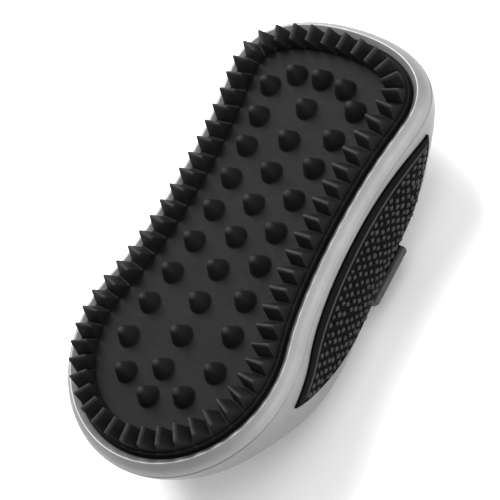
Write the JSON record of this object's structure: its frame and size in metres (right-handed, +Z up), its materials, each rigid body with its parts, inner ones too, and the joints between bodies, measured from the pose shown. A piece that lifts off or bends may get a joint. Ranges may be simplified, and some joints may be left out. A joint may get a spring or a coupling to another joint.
{
  "type": "curry comb",
  "caption": "Horse curry comb: waisted rubber pad with conical nubs and a rim of triangular teeth, in a silver hand-held body with side grips and a hand strap.",
  "frame": {"origin": "under the middle of the comb, on the surface that its back rests on", "axes": "+Z up out of the rubber pad's working face, +Y along the comb towards its narrower end, +X across it"},
  "size_m": [0.0894, 0.1684, 0.051],
  "materials": {
    "pad_rubber": "matte moulded rubber",
    "silver_body": "satin silver-filled plastic",
    "grip_rubber": "soft-touch, fine raised bumps",
    "strap_rubber": "smooth satin rubber",
    "black_nylon": "moulded nylon",
    "screw_steel": "zinc-plated"
  },
  "bodies": {
    "root": {"rubber_pad": "pad_rubber", "front_bezel": "silver_body", "back_shell": "silver_body", "pad_carrier": "black_nylon", "grip_right": "grip_rubber", "grip_left": "grip_rubber", "hand_strap": "strap_rubber", "strap_clamp_right": "black_nylon", "strap_clamp_left": "black_nylon", "carrier_screw_1": "screw_steel", "carrier_screw_2": "screw_steel", "carrier_screw_3": "screw_steel", "carrier_screw_4": "screw_steel", "carrier_screw_5": "screw_steel", "carrier_screw_6": "screw_steel", "strap_screw_1": "screw_steel", "strap_screw_2": "screw_steel", "strap_screw_3": "screw_steel", "strap_screw_4": "screw_steel"}
  },
  "joints": []
}
